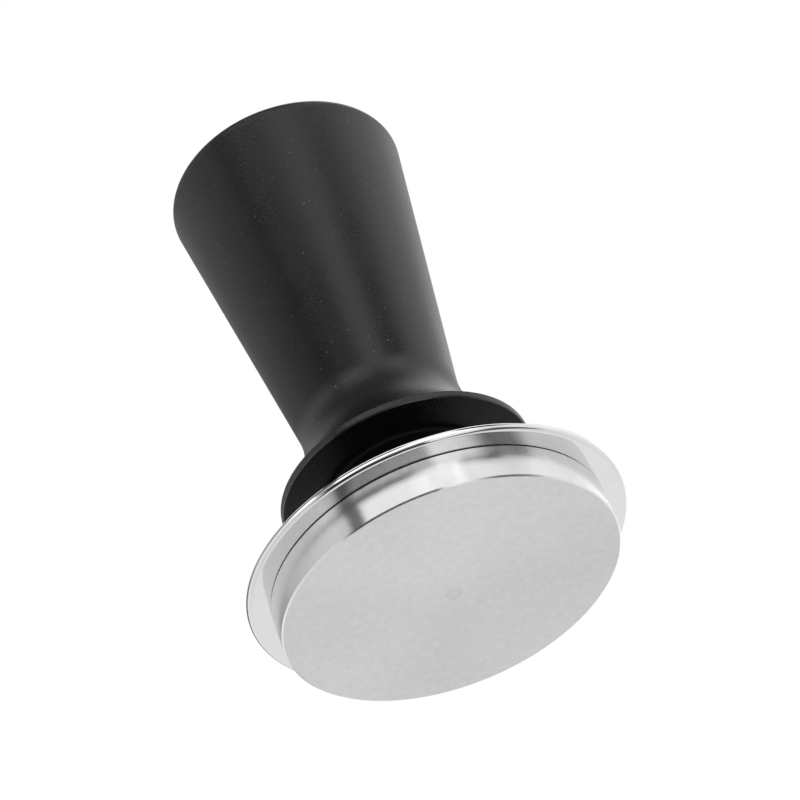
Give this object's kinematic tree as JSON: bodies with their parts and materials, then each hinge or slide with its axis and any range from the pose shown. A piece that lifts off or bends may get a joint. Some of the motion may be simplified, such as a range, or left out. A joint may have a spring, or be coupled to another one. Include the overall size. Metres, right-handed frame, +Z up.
{
  "type": "espresso tamper",
  "caption": "Spring-loaded espresso tamper: a flat steel base and a levelling plate under a black tapered handle that presses down against an inner spring.",
  "frame": {"origin": "centre of the tamping face, on the surface the tamper stands on", "axes": "+Z up along the shaft, from the tamping face to the top of the handle; X and Y are equal, because the outside is round"},
  "size_m": [0.066, 0.066, 0.0976],
  "materials": {
    "base_steel": "fine matte, turned",
    "plate_steel": "polished",
    "handle_anodised": "matte black anodised",
    "black_anodised": "satin black anodised",
    "shaft_steel": "ground",
    "washer_steel": "satin",
    "spring_steel": "drawn wire",
    "screw_steel": "dark satin",
    "bush_plastic": "natural acetal",
    "damper_rubber": "matte"
  },
  "bodies": {
    "base": {"tamping_base": "base_steel", "base_shim": "washer_steel", "plunger_shaft": "shaft_steel", "retaining_clip": "spring_steel", "spring_seat_washer": "washer_steel", "piston_head": "shaft_steel", "piston_lock_washer": "spring_steel", "piston_screw": "screw_steel", "main_spring": "spring_steel", "leveller_spring": "spring_steel"},
    "leveller_carriage": {"leveller_thrust_washer": "washer_steel"},
    "leveller": {"levelling_plate": "plate_steel", "leveller_sleeve": "black_anodised", "sleeve_bush": "bush_plastic", "plate_screws": "screw_steel"},
    "handle_carriage": {"top_thrust_washer": "washer_steel"},
    "handle": {"handle": "handle_anodised", "guide_collar": "black_anodised", "collar_bush": "bush_plastic", "damper_ring": "damper_rubber"}
  },
  "joints": [
    {"name": "plate_lift", "type": "slide", "parent": "base", "child": "leveller_carriage", "axis": [0, 0, 1], "range_m": [0, 0.007], "stiffness_N_per_m": 210, "springref_m": -0.0095, "deforming": ["leveller_spring"]},
    {"name": "plate_spin", "type": "hinge", "parent": "leveller_carriage", "child": "leveller", "pos_m": [0, 0, 0.007], "axis": [0, 0, 1], "continuous": true},
    {"name": "handle_press", "type": "slide", "parent": "base", "child": "handle_carriage", "axis": [0, 0, -1], "range_m": [0, 0.0058], "stiffness_N_per_m": 7050, "springref_m": -0.0128, "deforming": ["main_spring"]},
    {"name": "handle_spin", "type": "hinge", "parent": "handle_carriage", "child": "handle", "pos_m": [0, 0, 0.06], "axis": [0, 0, 1], "continuous": true}
  ]
}
